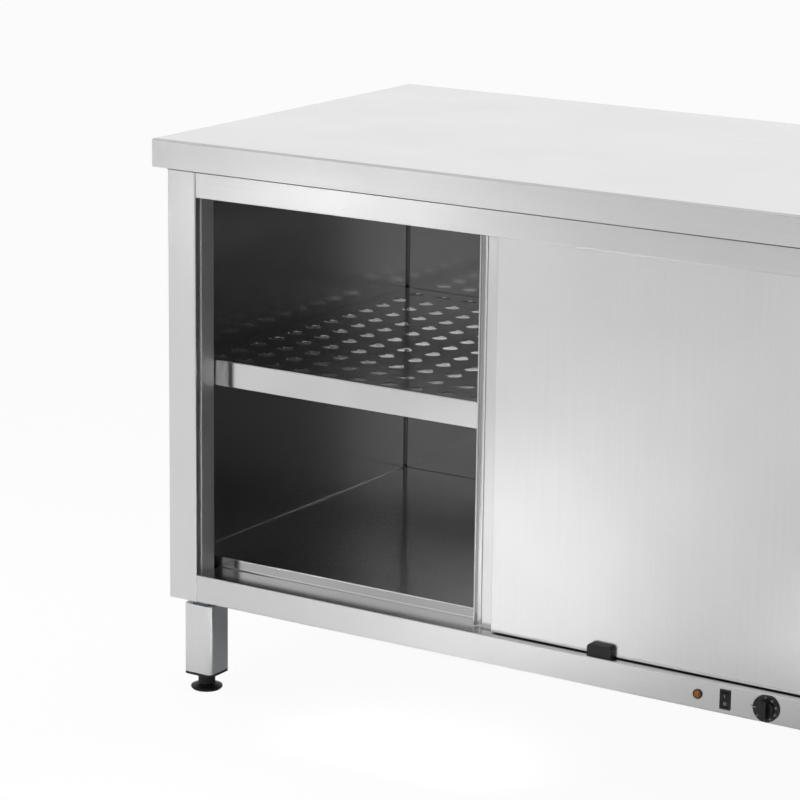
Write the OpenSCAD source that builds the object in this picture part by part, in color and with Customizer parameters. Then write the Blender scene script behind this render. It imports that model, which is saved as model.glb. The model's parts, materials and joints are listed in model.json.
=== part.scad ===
// Hot cupboard: a stainless steel heated cabinet with two hanging sliding doors.
// Millimetres, +Z up, front towards -Y, origin on the floor under the middle of the worktop.

/* [Overall] */
// Width of the worktop
top_w = 1200; // [1000:10:1500]
// Depth of the worktop
top_d = 700; // [620:10:800]
// Height from the floor to the worktop
total_h = 850; // [820:5:920]
// Height of the underside of the cabinet
leg_h = 149; // [130:1:190]

/* [Worktop] */
// Height of the folded apron round the worktop
apron_h = 42; // [34:1:55]
// How far the worktop stands out past the cabinet
overhang = 16; // [12:1:25]
// Sheet of the worktop
top_sheet = 1.5; // [1.2:0.1:2.0]
// Outside radius of the worktop's folded edges
top_r = 3; // [2.2:0.1:5]
// Width of the safe edge folded in under the apron
top_return = 13; // [8:0.5:15]
// Stiffening channels under the worktop
stiffener_n = 3; // [2:1:4]
// Width of a stiffening channel's crown
stiffener_w = 60; // [40:1:90]
// Width of a stiffening channel's flange
stiffener_flange = 20; // [12:1:30]

/* [Cabinet] */
// Sheet of the cabinet
sheet = 1.2; // [0.8:0.1:1.5]
// Inside radius of the cabinet's bends
bend_r = 0.8; // [0.4:0.1:1.2]
// Width of the front posts
post_w = 50; // [42:1:60]
// Height of the front rails
rail_h = 42; // [40:1:48]
// Seam between a front rail's end and the post
rail_seam = 0.8; // [0.2:0.1:1]
// Depth of the hem at the post's inner edge
post_hem = 2.4; // [2.2:0.1:4]
// Depth of the slot between post and jamb
post_slot = 14; // [12:0.5:16]
// Depth from the front to the back of the jamb
jamb_d = 47; // [46:0.5:52]
// Width of the jamb's front leg
jamb_leg = 26; // [15:1:32]
// Depth of the ledge on the bottom rail
ledge_d = 57; // [56:0.5:65]
// How far the ledge runs on under the floor tray
ledge_lap = 10; // [6:0.5:15]
// Height of the floor tray over the ledge
floor_rise = 16; // [14:0.5:22]
// Depth of the front rails' inner return
rail_return = 12; // [9:0.5:12.5]
// Height of the rails' upturned hem
rail_hem = 6; // [4:0.5:9]
// Depth of the top rail's top flange
rail_flange = 45; // [45:0.5:50]
// Height of the ceiling panel's flanges
ceiling_flange = 20; // [12:1:25]
// Height of the base pan's flanges
pan_flange = 15; // [10:1:17]
// Height of the floor tray's flanges
floor_flange = 8; // [5:0.5:10]
// Width of the side panels' rear flange
rear_flange = 25; // [18:1:35]
// Space behind the rear panel
rear_set = 8; // [6:0.5:12]
// Slit between the side panel and the rear panel's bend
corner_slit = 2.8; // [1.5:0.1:4]

/* [Shelf] */
// Height of the shelf over the cabinet's underside
shelf_z = 366; // [300:1:430]
// Distance of the shelf's front lip from the cabinet's front
shelf_front = 49; // [48.5:0.5:56]
// Height of the shelf's front lip
shelf_lip = 40; // [30:1:50]
// Fold under the shelf's front lip
shelf_hem = 10; // [6:0.5:14]
// Height of the shelf's rear flange
shelf_rear = 20; // [12:1:30]
// Gap between the shelf and the walls
shelf_gap = 0.5; // [0.2:0.1:1.0]
// Diameter of the air holes
hole_d = 24; // [16:0.5:32]
// Pitch of the air holes
hole_pitch = 50; // [45:1:70]
// First column of holes, from the cabinet's left side
hole_left = 46.7; // [40:0.1:60]
// Last row of holes, from the rear wall
hole_rear = 43; // [36:0.5:60]
// Least sheet right of the last column of holes
hole_right = 16; // [8:1:28]
// Least sheet between the first row of holes and the front lip
hole_front = 5; // [3:0.5:12]
// Leg of the shelf's bearer angles
bearer_leg = 20; // [14:1:22]
// Sheet of the bearers
bearer_t = 1.5; // [1.2:0.1:2.5]
// Width of the channel under the middle of the shelf
rib_w = 18; // [12:1:22]
// Height of the channel under the middle of the shelf
rib_h = 25; // [15:1:35]

/* [Doors] */
// Thickness of a door
door_t = 9; // [8.6:0.1:10]
// Sheet of the doors
door_sheet = 1; // [0.8:0.05:1.1]
// Gap between the two doors
door_gap = 1.5; // [1.2:0.1:2.5]
// Distance of the front door's face from the cabinet's front
door_set = 14; // [13.5:0.1:15]
// Overlap of the closed doors
door_overlap = 52; // [40:1:80]
// Gap between a door and the jamb it closes on
door_end_gap = 1; // [0.5:0.1:3]
// Gap between the doors and the ledge
door_lift = 2; // [1.6:0.1:4]
// How far the opened left door stands from its stop
door_ajar = 36; // [10:1:60]
// Width of the finger pull from the door's edge
pull_w = 14.5; // [12:0.1:18]
// Depth of the finger pull
pull_d = 5.5; // [4.5:0.1:6]
// Width of the folded edge outside the finger pull
pull_edge = 2.5; // [2.4:0.05:3]
// Width of the flange folded in at the door's back
door_flange = 12; // [8:0.5:20]

/* [Door gear] */
// Wall of the track
track_t = 1.4; // [1.2:0.1:1.6]
// Height of the track
track_h = 28; // [27:0.1:30]
// Diameter of the rollers
roller_d = 22; // [18:0.5:22.5]
// Width of the rollers
roller_w = 3.4; // [3:0.1:3.6]
// Diameter of the roller axles
axle_d = 4; // [3:0.1:6]
// Diameter of an axle's head
axle_head_d = 7; // [6:0.1:9]
// Thickness of an axle's head
axle_head_t = 0.6; // [0.4:0.05:0.7]
// Width of a hanger plate
hanger_w = 40; // [30:1:60]
// Thickness of a hanger plate
hanger_t = 1.5; // [1.3:0.05:1.6]
// Depth of a hanger plate inside the door
hanger_grip = 36; // [25:1:60]
// Distance of the hangers from the door's ends
hanger_inset = 70; // [45:1:140]
// Width of the door guide on the ledge
guide_w = 38; // [30:1:60]
// Height of the door guide
guide_h = 17.5; // [15:0.5:30]
// Thickness of the guide's front jaw
guide_jaw = 9; // [6:0.5:9.5]
// Radius of the guide's top corners
guide_r = 6; // [3:0.5:10]
// Place of the guide, right of the middle
guide_x = 154; // [60:1:250]

/* [Legs] */
// Width of the square legs
leg_w = 50; // [42:1:60]
// Wall of the legs
leg_wall = 1.5; // [1.2:0.1:2.5]
// Corner radius of the legs
leg_r = 7; // [4:0.1:9]
// Distance of the legs from the cabinet's sides
leg_inset = 15; // [8:0.5:40]
// Open gap between leg and cabinet
leg_neck = 11; // [6:0.5:16]
// Width of the spigot's neck
neck_w = 34; // [26:0.5:38]
// Length of the spigot inside the leg
spigot_grip = 30; // [20:1:45]
// Height of the foot under the leg
foot_h = 26; // [22:0.5:34]
// Diameter of the foot's pad
foot_d = 48; // [40:1:60]
// Thickness of the foot's pad
foot_pad = 9; // [6:0.5:12]
// Diameter of the foot's collar
foot_collar_d = 26; // [18:0.5:36]
// Diameter of the foot's stem
stem_d = 10; // [8:0.5:12]
// Length of the foot's stem over its collar
stem_l = 62; // [50:1:64]
// Length of the plastic insert inside the leg
insert_l = 24; // [15:1:28]
// Flange of the plastic insert under the leg
insert_flange = 4; // [2.5:0.1:6]

/* [Heating] */
// Diameter of the heating elements
heater_d = 8.5; // [6.5:0.1:10]
// Width of a heating element's loop
heater_loop = 120; // [80:1:160]
// Height of the heating elements over the base pan
heater_z = 28; // [22:0.5:34]
// Distance of the element's bend from the left side
heater_left = 110; // [60:1:200]
// Distance of the element's ends from the right side
heater_right = 230; // [180:1:320]
// Thickness of the heater brackets
bracket_t = 1.5; // [1:0.1:2]
// Foot of the heater brackets
bracket_foot = 14; // [10:0.5:20]
// Edge left round the element in its bracket
bracket_edge = 8; // [5:0.5:12]

/* [Controls] */
// Distance of the thermostat knob from the right side
knob_right = 168; // [110:1:260]
// Diameter of the knob's skirt
knob_d = 38; // [30:0.5:39]
// Height of the knob
knob_h = 14; // [10:0.5:14.5]
// Thickness of the knob's skirt
knob_skirt = 3; // [2:0.1:4]
// Width of the knob's grip bar
knob_bar = 11; // [10:0.5:13]
// Diameter of the thermostat's shaft
shaft_d = 6; // [5:0.1:7]
// Diameter of the thermostat's bush
bush_d = 10; // [9:0.1:11]
// Width of the thermostat's case
stat_w = 28; // [24:0.5:29]
// Depth of the thermostat's case
stat_d = 28; // [22:0.5:34]
// Diameter of the thermostat's bulb
bulb_d = 6; // [5:0.1:8]
// Length of the thermostat's bulb
bulb_l = 80; // [60:1:110]
// Diameter of the thermostat's capillary
capillary_d = 2; // [1.5:0.1:3]
// Distance of the switch from the knob
switch_step = 62; // [45:1:90]
// Distance of the lamp from the switch
lamp_step = 42; // [30:1:60]
// Width of the switch's bezel
switch_w = 16; // [15:0.5:20]
// Height of the switch's bezel
switch_h = 28; // [25:0.5:30]
// Depth of the switch behind the rail
switch_d = 24; // [18:0.5:30]
// Rim of the switch's bezel
switch_rim = 1.5; // [1.2:0.1:2]
// Angle of the rocker to each side
rocker_tilt = 8; // [5:0.5:10]
// Diameter of the lamp's bezel
lamp_d = 14; // [11:0.5:18]
// Diameter of the lamp's barrel
lamp_barrel = 10; // [8:0.5:10]
// Diameter of the cable gland's thread
gland_d = 20; // [16:0.5:20]
// Bore of the cable gland
gland_bore = 10; // [6:0.5:12]
// Height of the cable gland over the cabinet's underside
gland_z = 31.5; // [30:0.5:33]

/* [Hidden] */
// Steps in each bend of a folded sheet
bend_steps = 5;
// Steps round the trough of the finger pull
pull_steps = 7;
// Overrun of every cut
over = 1;
// Clearance of slip fits between fixed pieces
slip = 0.3;
// Radial clearance of shafts in their bores
run_fit = 0.05;
// Clearance of rolling and turning pieces
run_gap = 0.3;
// Facets of the true rounds
$fn = 48;

// Main planes of the cabinet
bx = top_w / 2 - overhang;
by = top_d / 2 - overhang;
front = -by;
rear = by - rear_set;
z_base = leg_h;
z_top = total_h - apron_h;
in_x = bx - sheet;
open_x = bx - post_w;
z_ledge = z_base + rail_h;
z_floor = z_ledge + floor_rise;
z_shelf = z_base + shelf_z;

// Shelf and its pattern of holes
shelf_y0 = front + shelf_front;
shelf_y1 = rear - shelf_gap;
shelf_x = in_x - shelf_gap;
hole_y1 = rear - hole_rear;
hole_x0 = -bx + hole_left;
hole_cols = floor((shelf_x - hole_right - hole_d / 2 - hole_x0) / hole_pitch);
hole_rows = floor((hole_y1 - shelf_y0 - hole_front - hole_d / 2) / hole_pitch);
mid_col = floor(-hole_x0 / hole_pitch);
rib_x = hole_x0 + (mid_col + 1 / 2) * hole_pitch;
bearer_y0 = shelf_y0 + shelf_hem + bearer_t + sheet;
bearer_y1 = shelf_y1 - sheet - bearer_t;

// Doors, their gear and where they stand
door_w = (2 * open_x + door_overlap) / 2;
door_run = 2 * open_x - door_w - 2 * door_end_gap;
front_door_y = front + door_set;
rear_door_y = front_door_y + door_t + door_gap;
right_door_x = open_x - door_end_gap - door_w;
left_door_x = -open_x + door_end_gap + door_run - door_ajar;
z_door = z_ledge + door_lift;
z_track = z_top - sheet;
z_track_foot = z_track - track_h;
door_h = z_track_foot - door_lift - z_door;
axle_z = z_track_foot + track_t + run_gap + roller_d / 2;
hanger_y = door_sheet;
roller_y = hanger_y + hanger_t + run_gap;
web_y = roller_y + roller_w + 2 * run_gap + axle_head_t;
hanger_xs = [hanger_inset, door_w - hanger_inset];
hanger_top = axle_z + axle_head_d;
door_bend = pull_edge / 2 - door_sheet - run_fit;

// Legs and feet
leg_x = bx - leg_inset - leg_w / 2;
leg_y = by - leg_inset - leg_w / 2;
leg_in = leg_w - 2 * leg_wall - 2 * slip;
z_leg0 = foot_h + insert_flange;
z_leg1 = z_base - leg_neck;

// Heating and controls
z_pan = z_base + sheet;
z_heater = z_pan + heater_z;
heater_x0 = -bx + heater_left;
heater_x1 = bx - heater_right;
heater_y_share = 0.28;
heater_ys = [front + 2 * by * heater_y_share, front + 2 * by * (1 - heater_y_share)];
bracket_shares = [0.2, 0.8];
ctrl_z = z_base + rail_h / 2;
knob_x = bx - knob_right;
switch_x = knob_x - switch_step;
lamp_x = switch_x - lamp_step;
knob_back = front - 2 * run_gap;
bush_out = knob_skirt - run_gap;
shaft_out = knob_h - knob_skirt;
switch_core_w = switch_w - 2 * switch_rim;
switch_core_h = switch_h - 2 * switch_rim;
rocker_w = switch_core_w - 2 * switch_rim;
rocker_h = switch_core_h - 2 * switch_rim;
rocker_y = front + switch_rim;
bulb_y = front + sheet + stat_d + bulb_l;
gland_x = knob_x;

// Colours of the finishes
steel = "#c9cbcd";
bright = "#dcdddf";
zinc = "#b9bdbf";
black = "#1b1b1c";
white = "#e9e9e4";
amber = "#d8862c";

// Unit vector along v, and its left normal
function unit(v) = v / norm(v);
function left_of(v) = [-v.y, v.x];
function turn_side(u, v) = sign(u.x * v.y - u.y * v.x);

// Point of a path moved to its left by t
function shifted(path, i, t) =
    let (
        last = len(path) - 1,
        a = unit(path[max(i, 1)] - path[max(i, 1) - 1]),
        b = unit(path[min(i, last - 1) + 1] - path[min(i, last - 1)]),
        m = left_of(a),
        n = left_of(b)
    )
    path[i] + t * (m + n) / (1 + m * n);

// Arc that rounds the corner p between a and b
function corner(a, p, b, r) =
    let (
        u = unit(p - a),
        v = unit(b - p),
        s = turn_side(u, v),
        turn = acos(u * v),
        start = p - u * r * tan(turn / 2),
        centre = start + left_of(u) * s * r,
        arm = start - centre
    )
    [for (k = [0 : bend_steps])
        let (q = s * turn * k / bend_steps)
        centre + [arm.x * cos(q) - arm.y * sin(q), arm.x * sin(q) + arm.y * cos(q)]];

// One side of a folded strip: left turns take the radius r_left, right turns r_right
function side(path, r_left, r_right) =
    let (last = len(path) - 1)
    [for (i = [0 : last]) each
        i == 0 || i == last ? [path[i]] :
        let (s = turn_side(path[i] - path[i - 1], path[i + 1] - path[i]))
        corner(path[i - 1], path[i], path[i + 1], s > 0 ? r_left : r_right)];

function reversed(list) = [for (i = [len(list) - 1 : -1 : 0]) list[i]];

// Outline of a sheet of thickness t, folded along a path that is its right-hand face
module folded(path, t, r) {
    inner = [for (i = [0 : len(path) - 1]) shifted(path, i, t)];
    polygon(concat(side(path, r + t, r), reversed(side(inner, r, r + t))));
}

// Outline drawn in Y and Z, run along X and centred on it
module along_x(l) {
    translate([-l / 2, 0, 0])
        rotate([90, 0, 90])
            linear_extrude(l) children();
}

// Outline drawn in X and Z, run along Y from y0 to y1
module along_y(y0, y1) {
    translate([0, y1, 0])
        rotate([90, 0, 0])
            linear_extrude(y1 - y0) children();
}

// Rectangle centred on X, standing on Y = 0, with round upper corners
module round_top(w, h, r) {
    translate([-w / 2, 0]) square([w, h - r]);
    translate([r - w / 2, 0]) square([w - 2 * r, h]);
    for (s = [-1, 1])
        translate([s * (w / 2 - r), h - r]) circle(r);
}

// Square with round corners, centred
module round_square(w, r) {
    square([w, w - 2 * r], center = true);
    square([w - 2 * r, w], center = true);
    for (sx = [-1, 1], sy = [-1, 1])
        translate([sx * (w / 2 - r), sy * (w / 2 - r)]) circle(r);
}

// Slab with round upper edges, open or solid below
module slab(w, d, h, r) {
    intersection() {
        along_y(-d / 2, d / 2) round_top(w, h, r);
        along_x(w) round_top(d, h, r);
    }
}

// Copy on the other side of the cabinet
module other_side() {
    mirror([1, 0, 0]) children();
}

// Folded worktop with its apron and safe edge
module worktop() {
    edge_w = top_w - 2 * top_sheet;
    edge_d = top_d - 2 * top_sheet;
    color(bright) translate([0, 0, z_top]) {
        difference() {
            slab(top_w, top_d, apron_h, top_r);
            translate([0, 0, -over])
                slab(edge_w, edge_d, apron_h - top_sheet + over, top_r - top_sheet);
        }
        difference() {
            linear_extrude(top_sheet)
                square([edge_w + top_sheet, edge_d + top_sheet], center = true);
            translate([0, 0, -over])
                linear_extrude(top_sheet + 2 * over)
                    square([edge_w - 2 * top_return, edge_d - 2 * top_return], center = true);
        }
    }
}

// Hat channels between the ceiling and the worktop
module worktop_stiffeners() {
    h = apron_h - top_sheet - sheet;
    hat = [
        [-stiffener_w / 2 - stiffener_flange, 0], [-stiffener_w / 2, 0],
        [-stiffener_w / 2, h], [stiffener_w / 2, h],
        [stiffener_w / 2, 0], [stiffener_w / 2 + stiffener_flange, 0]
    ];
    step = (rear - front - rail_flange) / stiffener_n;
    color(zinc)
        for (i = [0 : stiffener_n - 1])
            translate([0, front + rail_flange + (i + 1 / 2) * step, z_top])
                along_x(2 * in_x) folded(hat, sheet, bend_r);
}

// Ceiling of the heated space
module ceiling_panel() {
    y0 = front + rail_flange;
    path = [
        [rear, z_top - ceiling_flange], [rear, z_top], [y0, z_top], [y0, z_top - ceiling_flange]
    ];
    color(steel) along_x(2 * in_x) folded(path, sheet, bend_r);
}

// Front rail over the doors
module top_rail() {
    z0 = z_top - rail_h;
    path = [
        [front + rail_flange, z_top], [front, z_top], [front, z0],
        [front + rail_return, z0], [front + rail_return, z0 + rail_hem]
    ];
    color(steel) along_x(2 * (open_x - rail_seam)) folded(path, sheet, bend_r);
}

// Front rail under the doors, with its ledge and the holes for the controls
module bottom_rail() {
    path = [
        [front + ledge_d + ledge_lap, z_ledge], [front, z_ledge], [front, z_base],
        [front + rail_return, z_base], [front + rail_return, z_base + rail_hem]
    ];
    color(steel) difference() {
        along_x(2 * (open_x - rail_seam)) folded(path, sheet, bend_r);
        translate([knob_x, front, ctrl_z])
            rotate([90, 0, 0]) cylinder(d = bush_d + slip, h = 2 * (sheet + over), center = true);
        translate([lamp_x, front, ctrl_z])
            rotate([90, 0, 0]) cylinder(d = lamp_barrel + slip, h = 2 * (sheet + over), center = true);
        translate([switch_x, front, ctrl_z])
            cube([switch_core_w + slip, 2 * (sheet + over), switch_core_h + slip], center = true);
    }
}

// Side wall folded round into the front post and the rear flange
module left_side_panel() {
    path = [
        [rear_flange - bx, by], [-bx, by], [-bx, front], [-open_x, front],
        [-open_x, front + post_hem]
    ];
    color(steel) translate([0, 0, z_base])
        linear_extrude(z_top - z_base) folded(path, sheet, bend_r);
}

module right_side_panel() {
    other_side() left_side_panel();
}

// Jamb that closes the post's box beside the doors
module left_jamb() {
    z0 = z_base + rail_hem;
    path = [
        [-open_x - jamb_leg, front + post_slot], [-open_x, front + post_slot],
        [-open_x, front + jamb_d], [-in_x, front + jamb_d]
    ];
    color(steel) translate([0, 0, z0])
        linear_extrude(z_top - ceiling_flange - z0) folded(path, sheet, bend_r);
}

module right_jamb() {
    other_side() left_jamb();
}

// Rear wall with its edges bent back to the side panels' flanges
module rear_panel() {
    x = in_x - corner_slit;
    path = [[-x, by - sheet], [-x, rear], [x, rear], [x, by - sheet]];
    color(steel) difference() {
        translate([0, 0, z_base])
            linear_extrude(z_top - z_base) folded(path, sheet, bend_r);
        translate([gland_x, rear, z_base + gland_z])
            rotate([90, 0, 0]) cylinder(d = gland_d + slip, h = 2 * (sheet + over), center = true);
    }
}

// Side edge of the floor tray, bent down along the wall
module tray_edge(y0, y1) {
    path = [
        [floor_flange - in_x, z_floor], [-in_x, z_floor], [-in_x, z_floor - floor_flange]
    ];
    along_y(y0, y1) folded(path, sheet, bend_r);
}

// Floor of the heated space, folded down on to the ledge and along the walls
module floor_tray() {
    y0 = front + ledge_d;
    bend = sheet + bend_r;
    path = [[rear, z_floor - floor_flange], [rear, z_floor], [y0, z_floor], [y0, z_ledge]];
    color(steel) {
        difference() {
            along_x(2 * in_x) folded(path, sheet, bend_r);
            for (x = [-in_x - floor_flange, in_x - floor_flange])
                translate([x, y0 + bend, z_floor - sheet - over])
                    cube([2 * floor_flange, rear - y0 - 2 * bend, sheet + 2 * over]);
        }
        tray_edge(y0 + bend, rear - bend);
        other_side() tray_edge(y0 + bend, rear - bend);
    }
}

// Pan that closes the heater space from below
module base_pan() {
    y0 = front + rail_return;
    path = [[y0, z_base + rail_hem], [y0, z_base], [rear, z_base], [rear, z_base + pan_flange]];
    color(zinc) along_x(2 * in_x) folded(path, sheet, bend_r);
}

// Double track: a crown with one web and one running lip for each door
module door_track() {
    crown_y = front_door_y + web_y;
    color(bright) along_x(2 * open_x) {
        translate([crown_y, z_track - track_t])
            square([door_t + door_gap + track_t, track_t]);
        for (y = [front_door_y, rear_door_y]) {
            translate([y + web_y, z_track_foot]) square([track_t, track_h]);
            translate([y + roller_y, z_track_foot])
                square([web_y - roller_y + track_t, track_t]);
        }
    }
}

// Nylon guide astride the two doors, standing on the ledge
module door_guide() {
    jaw_y = front_door_y - run_gap - guide_jaw;
    back_y = rear_door_y + door_t + run_gap;
    sole = door_lift - 2 * run_gap;
    back_d = front + ledge_d - back_y;
    color(black) translate([guide_x, 0, z_ledge]) {
        along_y(jaw_y, jaw_y + guide_jaw) round_top(guide_w, guide_h, guide_r);
        along_y(back_y, back_y + back_d) round_top(guide_w, floor_rise, guide_r);
        translate([-guide_w / 2, jaw_y, 0])
            cube([guide_w, back_y + back_d - jaw_y, sole]);
    }
}

// Shelf of one folded sheet with its grid of air holes
module perforated_shelf() {
    path = [
        [shelf_y1, z_shelf - shelf_rear], [shelf_y1, z_shelf], [shelf_y0, z_shelf],
        [shelf_y0, z_shelf - shelf_lip], [shelf_y0 + shelf_hem, z_shelf - shelf_lip]
    ];
    color(steel) difference() {
        along_x(2 * shelf_x) folded(path, sheet, bend_r);
        translate([hole_x0, hole_y1, z_shelf - sheet - over])
            linear_extrude(sheet + 2 * over)
                for (i = [0 : hole_cols], j = [0 : hole_rows])
                    translate([i * hole_pitch, -j * hole_pitch]) circle(d = hole_d);
    }
}

// Channel between two columns of holes under the middle of the shelf
module shelf_rib() {
    z1 = z_shelf - sheet;
    path = [
        [rib_w / 2, z1 - rib_h], [rib_w / 2, z1], [-rib_w / 2, z1], [-rib_w / 2, z1 - rib_h]
    ];
    color(zinc) translate([rib_x, 0, 0])
        along_y(bearer_y0, bearer_y1) folded(path, sheet, bend_r);
}

// Angle on the side wall that carries the shelf
module left_shelf_bearer() {
    z1 = z_shelf - sheet;
    path = [[bearer_leg - in_x, z1], [-in_x, z1], [-in_x, z1 - bearer_leg]];
    color(steel) along_y(bearer_y0, bearer_y1) folded(path, bearer_t, bend_r);
}

module right_shelf_bearer() {
    other_side() left_shelf_bearer();
}

// Tubular element bent into a loop
module heating_element(y) {
    l = heater_x1 - heater_x0;
    color("#4a4644") translate([heater_x0, y, z_heater]) {
        for (s = [-1, 1])
            translate([0, s * heater_loop / 2, 0])
                rotate([0, 90, 0]) cylinder(d = heater_d, h = l);
        rotate([0, 0, 90])
            rotate_extrude(angle = 180) translate([heater_loop / 2, 0]) circle(d = heater_d);
    }
}

module heating_element_front() {
    heating_element(heater_ys[0]);
}

module heating_element_rear() {
    heating_element(heater_ys[1]);
}

// Drilled angle brackets that hold the elements off the pan
module heater_brackets() {
    w = heater_loop + heater_d + 2 * bracket_edge;
    h = heater_z + heater_d / 2 + bracket_edge;
    color(zinc)
        for (y = heater_ys, k = bracket_shares)
            translate([heater_x0 + k * (heater_x1 - heater_x0), y, z_pan])
                difference() {
                    union() {
                        translate([0, -w / 2, 0]) cube([bracket_t, w, h]);
                        translate([0, -w / 2, 0]) cube([bracket_foot, w, bracket_t]);
                    }
                    for (s = [-1, 1])
                        translate([-over, s * heater_loop / 2, heater_z])
                            rotate([0, 90, 0])
                                cylinder(d = heater_d + 2 * run_fit, h = bracket_t + 2 * over);
                }
}

// Thermostat case behind the rail, with its bush and shaft
module thermostat_body() {
    case_y = front + sheet;
    color(black) translate([knob_x, 0, ctrl_z]) {
        translate([-stat_w / 2, case_y, -stat_w / 2]) cube([stat_w, stat_d, stat_w]);
        translate([0, case_y + over, 0])
            rotate([90, 0, 0]) cylinder(d = bush_d, h = sheet + bush_out + over);
        translate([0, case_y, 0])
            rotate([90, 0, 0]) cylinder(d = shaft_d, h = sheet + shaft_out);
    }
}

// Capillary and bulb of the thermostat
module thermostat_bulb() {
    y0 = front + sheet + stat_d;
    color("#b87b4b") translate([knob_x, y0, ctrl_z])
        rotate([-90, 0, 0]) {
            cylinder(d = capillary_d, h = bulb_l + over);
            translate([0, 0, bulb_l]) cylinder(d = bulb_d, h = bulb_l);
        }
}

// Saddle that carries the bulb on the pan
module bulb_clip() {
    w = bulb_d + 2 * bracket_edge;
    h = ctrl_z - z_pan + bulb_d / 2 + bracket_edge / 2;
    color(zinc) translate([knob_x, bulb_y + bulb_l / 2, z_pan]) difference() {
        union() {
            translate([-w / 2, 0, 0]) cube([w, bracket_t, h]);
            translate([-w / 2, 0, 0]) cube([w, bracket_foot, bracket_t]);
        }
        translate([0, -over, ctrl_z - z_pan])
            rotate([-90, 0, 0]) cylinder(d = bulb_d + 2 * run_fit, h = bracket_t + 2 * over);
    }
}

// Disc cut-out clamped under the floor tray
module overheat_cutout() {
    disc_d = stat_w / 2;
    disc_h = stat_d / 3;
    tab = [bracket_t, switch_rim, disc_h / 2];
    color(black) translate([heater_x1, heater_ys[0], z_floor - sheet - disc_h]) {
        cylinder(d = disc_d, h = disc_h);
        translate([0, 0, disc_h - bracket_t]) cylinder(d = disc_d + bracket_edge, h = bracket_t);
        for (s = [-1, 1])
            translate([s * disc_d / 4 - bracket_t / 2, -switch_rim / 2, -disc_h / 2])
                cube(tab + [0, 0, over]);
    }
}

// Switch frame snapped into the rail, with the well for its rocker
module switch_housing() {
    well = switch_d / 2;
    color(black) translate([switch_x, front, ctrl_z]) difference() {
        union() {
            translate([-switch_w / 2, -switch_rim, -switch_h / 2])
                cube([switch_w, switch_rim, switch_h]);
            translate([-switch_core_w / 2, -switch_rim, -switch_core_h / 2])
                cube([switch_core_w, switch_d, switch_core_h]);
        }
        translate([-rocker_w / 2 - run_gap, -switch_rim - over, -rocker_h / 2 - run_gap])
            cube([rocker_w + 2 * run_gap, well + over, rocker_h + 2 * run_gap]);
    }
}

// Rocker: a cradle arc with a dished face, tipped to its off side
module switch_rocker() {
    r = rocker_h / 2;
    dish = 2 * r;
    face = switch_rim + 2 * run_gap;
    color("#2a2a2c") translate([switch_x, rocker_y, ctrl_z])
        rotate([rocker_tilt, 0, 0])
            difference() {
                intersection() {
                    along_x(rocker_w) circle(r - run_gap);
                    translate([-switch_w / 2, -face - switch_rim, -rocker_h / 2])
                        cube([switch_w, face + switch_rim + r / 2, rocker_h]);
                }
                translate([0, -face - dish, 0])
                    along_x(switch_w) circle(dish - run_gap);
            }
}

// Pilot lamp with its bezel, dome and barrel
module pilot_lamp() {
    dome = lamp_barrel / 2;
    color(amber) translate([lamp_x, front, ctrl_z]) rotate([90, 0, 0]) {
        cylinder(d = lamp_d, h = switch_rim);
        translate([0, 0, -switch_d]) cylinder(d = lamp_barrel, h = switch_d);
        intersection() {
            translate([0, 0, switch_rim - dome / 2]) sphere(dome);
            cylinder(d = lamp_d, h = knob_h);
        }
    }
}

// Ceramic terminal block by the cable gland
module terminal_block() {
    ways = 3;
    way = gland_d;
    h = gland_d;
    color(white) translate([gland_x - gland_d * ways, rear - stat_d - gland_d - way, z_pan])
        difference() {
            cube([ways * way, way, h]);
            for (i = [0 : ways - 1])
                translate([(i + 1 / 2) * way, way / 2, h / 2])
                    cylinder(d = axle_head_d, h = h);
        }
}

// Cable gland through the rear panel: locknut, thread, hexagon and dome
module cable_gland() {
    hex_d = gland_d + gland_bore / 2;
    hex_t = rear_set - sheet;
    nut_t = hex_t / 2;
    color(black) translate([gland_x, rear, z_base + gland_z]) rotate([-90, 0, 0])
        difference() {
            union() {
                translate([0, 0, -hex_t]) cylinder(d = gland_d, h = hex_t + sheet + nut_t);
                translate([0, 0, -nut_t]) cylinder(d = hex_d, h = nut_t, $fn = 6);
                translate([0, 0, sheet]) cylinder(d = hex_d, h = hex_t, $fn = 6);
                translate([0, 0, sheet]) cylinder(d = gland_d, h = 2 * hex_t);
            }
            translate([0, 0, -hex_t - over])
                cylinder(d = gland_bore, h = 3 * hex_t + sheet + 2 * over);
        }
}

// Square leg tube
module leg(sx, sy) {
    color(steel) translate([sx * leg_x, sy * leg_y, z_leg0])
        linear_extrude(z_leg1 - z_leg0)
            difference() {
                round_square(leg_w, leg_r);
                round_square(leg_w - 2 * leg_wall, leg_r - leg_wall);
            }
}

module leg_front_left() {
    leg(-1, -1);
}

module leg_front_right() {
    leg(1, -1);
}

module leg_rear_left() {
    leg(-1, 1);
}

module leg_rear_right() {
    leg(1, 1);
}

// Spigots under the base pan that plug into the legs
module leg_spigots() {
    color("#3a3b3d")
        for (sx = [-1, 1], sy = [-1, 1])
            translate([sx * leg_x, sy * leg_y, z_leg1]) {
                linear_extrude(leg_neck) round_square(neck_w, leg_r);
                translate([0, 0, -spigot_grip])
                    linear_extrude(spigot_grip) round_square(leg_in, leg_r - leg_wall);
            }
}

// Plastic inserts in the lower ends of the legs
module leg_inserts() {
    color(black)
        for (sx = [-1, 1], sy = [-1, 1])
            translate([sx * leg_x, sy * leg_y, foot_h])
                difference() {
                    union() {
                        linear_extrude(insert_flange) round_square(leg_w, leg_r);
                        linear_extrude(insert_flange + insert_l)
                            round_square(leg_in, leg_r - leg_wall);
                    }
                    translate([0, 0, -over])
                        cylinder(d = stem_d + 2 * run_fit, h = insert_flange + insert_l + 2 * over);
                }
}

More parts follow.
